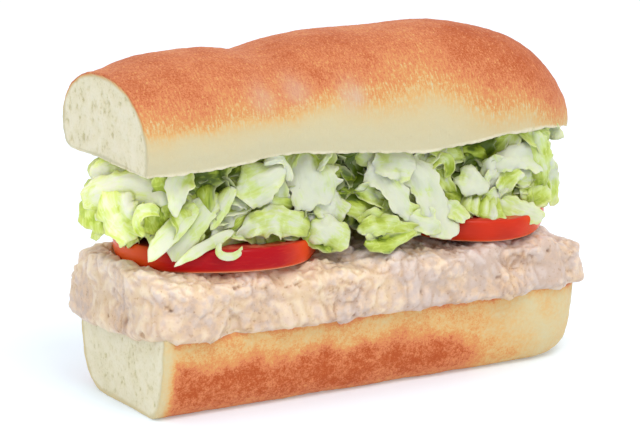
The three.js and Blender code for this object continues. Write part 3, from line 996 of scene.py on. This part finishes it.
def middle_leaves(add):
    """The white curtain, the lumps beneath it, the dark folds beside it, the pale leaf with two
    arms and the green leaves between the slices."""
    add([(-25, -19, 76), (-26, -22, 69), (-23, -23, 59)], [6, 9, 14, 13], [0.5, 0.05, 0.05], rib=0.5)
    add([(-24, -20, 64), (-19, -21.5, 59), (-13, -21, 54)], [6, 8, 7], [0.05, 0.1])
    add([(-25, -22, 55), (-21, -26, 52), (-15, -27, 48)], [6, 9, 10, 6], [0.35, 0.1, 0.25], curl=0.8)
    add([(-30, -21, 53), (-25, -24, 50), (-19, -26, 46)], [4, 5, 3], [0.6, 0.6])
    # These deep green leaves fill the dark folds: their colour is painted shade.
    add([(-16, -15, 74), (-14, -16, 67), (-13, -16, 61)], [5, 6, 5], [1.15, 1.2], rib=0)
    add([(-11, -16, 74), (-8, -17, 71), (-5, -16, 64)], [5, 6, 4], [0.95, 1.1], rib=0)
    add([(-17, -17, 61), (-12, -18, 59), (-6, -17, 55)], [3, 4, 3], [0.9, 1.0], rib=0)
    add([(-7, -15, 63), (-2, -16, 57), (4, -17, 51)], [6, 8, 6], [1.0, 0.9])
    add([(-23, -22, 70), (-21, -23, 73), (-19, -23, 76)], [1, 1.2, 1], [0.0, 0.0], thick=0.8)
    add([(-4, -20, 70), (0, -23, 65), (5, -25, 57), (12, -25, 51)], [9, 10, 6, 5], [0.0, 0.05, 0.1],
        curl=0.1)
    add([(-4, -22, 69), (3, -23, 69), (10, -23, 67)], [6, 8, 7], [0.0, 0.05], curl=0.1)
    add([(4, -20, 71), (12, -23, 65), (16, -25, 55), (17, -28, 45)], [6, 7, 8, 10], [0.05, 0.0, 0.0],
        curl=0.1)
    add([(7, -25, 53), (12, -26.5, 51), (16, -27, 52)], [4, 6, 6], [0.1, 0.05], curl=0.1)
    add([(2, -21, 58), (-1, -23, 53), (-8, -26, 47)], [2, 5, 5], [0.5, 0.35])
    add([(-10, -24, 50), (-2, -26, 51), (10, -26, 48)], [4, 6, 3], [0.35, 0.45], waves=2.5)
    add([(-9, -27, 47), (-2, -28, 46), (8, -28, 49)], [2.5, 4.5, 1.2], [0.7, 0.8])
    add([(-9, -22, 52), (-5, -23, 53), (2, -24, 52)], [3, 4, 3], [0.5, 0.6])


def right_leaves(add):
    """The pleated leaf over the right slice, and the white and dark ones at the heel."""
    add([(20, -24, 55), (23, -26, 53), (26, -28, 49)], [3, 5.5, 1.5], [0.1, 0.2])
    add([(39, -19, 57), (35, -25, 53), (33, -27, 49)], [9, 12, 13, 13], [0.6, 0.3, 0.3], pleats=5,
        ruffle=0.2, torn=0.04)
    add([(23, -18, 59), (27, -20, 57), (30, -21, 53)], [5, 7, 6], [0.65, 0.55])
    add([(42, -22, 53), (47, -26.5, 50), (54, -29, 47)], [5, 7, 6, 3], [0.25, 0.35], ruffle=0.4)
    add([(27, -20, 62), (30, -23, 61), (37, -23, 58)], [5, 8, 4], [0.0, 0.05], curl=0.6, ruffle=0.3)
    add([(21, -16, 70), (32, -17, 69), (44, -16, 65)], [5, 9, 6], [0.5, 0.6])
    add([(35, -15, 62), (41, -16, 65), (48, -15, 68)], [5, 7, 5], [0.75, 0.7])
    add([(40, -20, 62), (46, -22, 66), (56, -21, 65), (64, -18, 60)], [4, 6, 8, 5], [0.05, 0.0, 0.1])
    add([(62, -16, 63), (66, -14, 55), (65, -14, 49)], [5, 6, 4], [0.05, 0.2])
    add([(40, -21, 63), (37, -22, 60), (37, -22, 57)], [2.5, 2.2, 1.6], [0.0, 0.0])
    add([(48, -18, 51), (54, -19, 54), (62, -17, 57)], [5, 10, 8], [0.5, 0.3], curl=-0.5)
    add([(41, -22, 56), (45, -23, 60), (50, -22, 62)], [3, 4.5, 3], [0.4, 0.3])
    add([(60, -17.5, 59), (62, -17.5, 55), (62, -17, 50)], [1.8, 2.5, 2], [0.6, 0.6])
    add([(52, -19, 51), (58, -18.5, 52), (65, -15, 48)], [2, 3.5, 2.5], [0.05, 0.15])
    add([(17, -21, 65), (17, -22, 68), (21, -22, 69), (23, -22, 66), (21, -21, 63)],
        [2, 3, 3, 3, 2], [0.65, 0.6], curl=-0.8)
    add([(47, -16, 69), (54, -17, 70), (61, -14, 69)], [4, 6, 4], [0.6, 0.8])


def front_shreds(add):
    """Seeded shreds that lie every way in the dark behind the large front leaves."""
    for i in range(FRONT_SHREDS):
        x = HEAP_LOW + (HEAP_HIGH - HEAP_LOW) * (i + draw()) / FRONT_SHREDS
        middle = np.array([x, draw(-20, -16), draw(HEAP_FLOOR + 5, HEAP_ROOF - 3)])
        middle[1] += 4 * shaded_gap(middle)
        turn = draw(-math.pi, math.pi)
        heading = np.array([math.cos(turn), 0.15, math.sin(turn)]) * draw(6, 10)
        hump = middle + np.array([0, -draw(0.5, 2), 0])
        wide = draw(5, 9)
        # Shreds in the shaded gaps take deeper greens: painted shade.
        tone = draw(0.1, 0.6) + 0.2 * shaded_gap(middle)
        add([middle - heading, hump, middle + heading], [wide * 0.7, wide, wide * 0.8],
            [tone, tone + draw(-0.2, 0.2)], curl=draw(-0.9, 0.9), ruffle=draw(0.4, 1.2),
            twist=draw(-1.2, 1.2), slant=draw(-1, 1), rib=draw(0.0, 0.6), **SHRED_STEPS)


def slice_front(x):
    """Where the front edge of a slice is at x, or the heap's front between the slices."""
    edges = [-HEAP_HALF]
    for cut in SLICES:
        edges.append(cut.place[1] - math.sqrt(max(cut.radius**2 - (x - cut.place[0]) ** 2, 0)))
    return min(edges)


def low_shreds(add):
    """Seeded shreds that lie along the top edges of the slices and hide their upper faces."""
    first = HEAP_LOW + 12
    for i in range(LOW_SHREDS):
        x = first + (HEAP_HIGH - first) * (i + draw()) / LOW_SHREDS
        y = max(slice_front(x), -24) + draw(2, 5)
        middle = np.array([x, y, draw(52, 54)])
        turn = draw(-0.5, 0.5)
        heading = np.array([math.cos(turn), 0.2, math.sin(turn)]) * draw(6, 9)
        tone = draw(0.15, 0.75)
        add([middle - heading, middle, middle + heading], [4, draw(5, 7), 4],
            [tone, tone + draw(-0.2, 0.2)], curl=draw(-0.5, 0.9), twist=draw(-0.8, 0.8),
            slant=draw(-1, 1), **SHRED_STEPS)


def outer_shred(add, foot, level, side):
    """A shred that leaves the heap's side at `foot`, bends over a hump and hangs down."""
    turn = draw(-1.3, 1.3)
    x, y = side.outward
    heading = math.cos(turn) * np.array([x, y]) + math.sin(turn) * np.array([-y, x])
    z = level + draw(-3, 3)
    length = side.reach * draw(0.6, 1.1) + draw(0, 3)
    inner = (*(foot - 7 * heading), z)
    hump = (*(foot + 0.4 * length * heading), z + draw(0, 2))
    drop = draw(-1, 12)
    tip = (*(foot + length * heading), np.clip(z - drop, SHRED_FLOOR, HEAP_ROOF - 3))
    wide = draw(7, 13)
    tone = draw(*side.tones)
    add([inner, hump, tip], [wide * 0.8, wide, wide * draw(0.8, 1.1), wide * draw(0.4, 0.9)],
        [tone, tone + draw(-0.3, 0.2)], (0.2 * x, 0.2 * y, 1), curl=draw(-1.3, 1.3),
        ruffle=draw(0.7, 1.8), waves=draw(1, 2.5), rib=draw(0.1, 0.6), twist=draw(-0.8, 0.8),
        slant=draw(-1, 1), **OUTER_SHRED_STEPS)


def shreds_round_heap(add):
    """Seeded shreds that stick out all round the heap in layers. Those on the front stay back,
    in the dark between the large leaves."""
    for level, side in itertools.product(SHRED_LEVELS, SIDES):
        for i in range(side.count):
            share = (i + draw(0.1, 0.9)) / side.count
            foot = np.array(side.start) * (1 - share) + np.array(side.end) * share
            outer_shred(add, foot, level, side)


def lettuce_material():
    shader = Shader("iceberg lettuce", 0.34, subsurface=0.35, radius=1.6, scatter=LEAF_SCATTER,
                    shine=0.28)
    place = shader.place()
    skin = shader.attribute("skin", "Vector")
    cloud = shader.noise(place, 6, 2, 0.5)
    streaks = shader.noise(shader.scaled(skin, (0.22, 1.1, 1)), 1.0, 2, 0.55)
    cells = shader.noise(shader.scaled(skin, (0.7, 1, 1)), 2.6, 1, 0.5)
    off_vein = shader.math("ABSOLUTE", shader.math("SUBTRACT", cells, 0.5))
    veins = shader.ranged(off_vein, 0.05, 0.0)
    tone = shader.sum(
        shader.attribute("tone"),
        shader.ranged(cloud, 0.3, 0.7, -0.16, 0.18),
        shader.ranged(streaks, 0.3, 0.7, -0.1, 0.1),
        shader.product(veins, -0.12),
        shader.product(shader.attribute("rib"), -0.4),
    )
    leaf = shader.ramp(
        tone,
        (0.0, colour(221, 225, 198)),
        (0.15, colour(218, 226, 186)),
        (0.3, colour(213, 226, 154)),
        (0.45, colour(205, 221, 124)),
        (0.6, colour(190, 206, 84)),
        (0.8, colour(156, 176, 48)),
        (1.0, colour(88, 108, 20)),
    )
    # Painted shade tints the leaves well inside the heap, and painted light lifts those at the cut end.
    leaf = shader.mix(shader.attribute("deep"), leaf, INNER_PAINTED_SHADE, "MULTIPLY")
    leaf = shader.mix(shader.attribute("cut_end"), leaf, CUT_END_PAINTED_LIGHT, "MULTIPLY")
    pale_edge = shader.product(shader.attribute("edge"), 0.4)
    shader.relief(streaks, 0.2)
    return shader.finish(shader.mix(pale_edge, leaf, colour(240, 238, 198)))


def core_material_with_painted_shade():
    shader = Shader("inner lettuce", 0.5, subsurface=0.4, radius=2.0, scatter=LEAF_SCATTER, shine=0.1)
    folds = shader.noise(shader.place(), 5, 3, 0.6)
    shader.relief(folds, 1.0)
    # Dark green that is darkest in the hollows of the folds: painted shade of the gaps between the
    # shreds.
    leaf = shader.ramp(
        folds,
        (0.3, colour(104, 122, 12)),
        (0.5, colour(146, 162, 28)),
        (0.7, colour(190, 204, 70)),
    )
    return shader.finish(leaf)


def lettuce_core():
    """The heap's inside, folded so that the gaps between the shreds show leaf edges."""
    turn = np.linspace(0, 2 * math.pi, CORE_TURNS, endpoint=False)[:, None]
    s = np.linspace(-1, 1, CORE_RINGS)
    end = np.sqrt(1 - np.abs(s) ** 8)
    c, d = np.cos(turn), np.sin(turn)
    x = (HEAP_LOW + HEAP_HIGH) / 2 + s * ((HEAP_HIGH - HEAP_LOW) / 2 - 3)
    y = np.sign(c) * np.abs(c) ** 0.5 * (HEAP_HALF - 2.5) * end
    z = (HEAP_FLOOR + HEAP_ROOF) / 2 + np.sign(d) * np.abs(d) ** 0.5 * (HEAP_ROOF - HEAP_FLOOR) / 2 * end
    points = placed(x, y, z).reshape(-1, 3)
    numbers = np.arange(len(points)).reshape(CORE_TURNS, CORE_RINGS)
    faces = grid_quads(np.vstack([numbers, numbers[:1]]))[:, ::-1]
    ridges = 1 - 2.2 * np.abs(noise(points * (1, 1, 0.6), 6, 61))
    height = 2.0 * ridges + 1.6 * noise(points, 11, 62)
    points = points + normals_of(points, faces) * height[:, None]
    make_piece("lettuce_inside", "lettuce", points, faces, core_material_with_painted_shade())


LEAF_GROUPS = {
    "lettuce_large_leaves": (cut_end_leaves, prongs, left_leaves, middle_leaves, right_leaves),
    "lettuce_front_shreds": (front_shreds, low_shreds),
    "lettuce_shreds": (shreds_round_heap,),
}


def lettuce():
    material = lettuce_material()
    lettuce_core()
    for name, groups in LEAF_GROUPS.items():
        leaves = Leaves()
        for add_group in groups:
            add_group(leaves.add)
        leaves.make(name, material)


# Table.
def make_table():
    signs = [(-1, -1), (1, -1), (1, 1), (-1, 1)]
    corners = [(TABLE_HALF * x, TABLE_HALF * y, 0) for x, y in signs]
    mesh = bpy.data.meshes.new("table")
    mesh.from_pydata(corners, [], [(0, 1, 2, 3)])
    shader = Shader("white table", 0.9)
    cloud = shader.noise(shader.place(), 400, 1, 0.5)
    shader.set("Emission Color", WHITE)
    shader.set("Emission Strength", TABLE_GLOW)
    mesh.materials.append(shader.finish(shader.mix(cloud, TABLE_WHITE, TABLE_COOL)))
    add_object("table", mesh)


make_camera()
make_key_light()
make_sky()
make_table()
bread_look = bread_material()
bread("bread_base_crust", "bread_base", base_rings(), base_bake, base_split_face, 0.0, bread_look)
bread("bread_crown_crust", "bread_crown", crown_rings(), crown_bake, crown_split_face, 1.0, bread_look)
tuna_salad()
tomato_look = tomato_material()
for cut in SLICES:
    tomato_slice(cut, tomato_look)
lettuce()
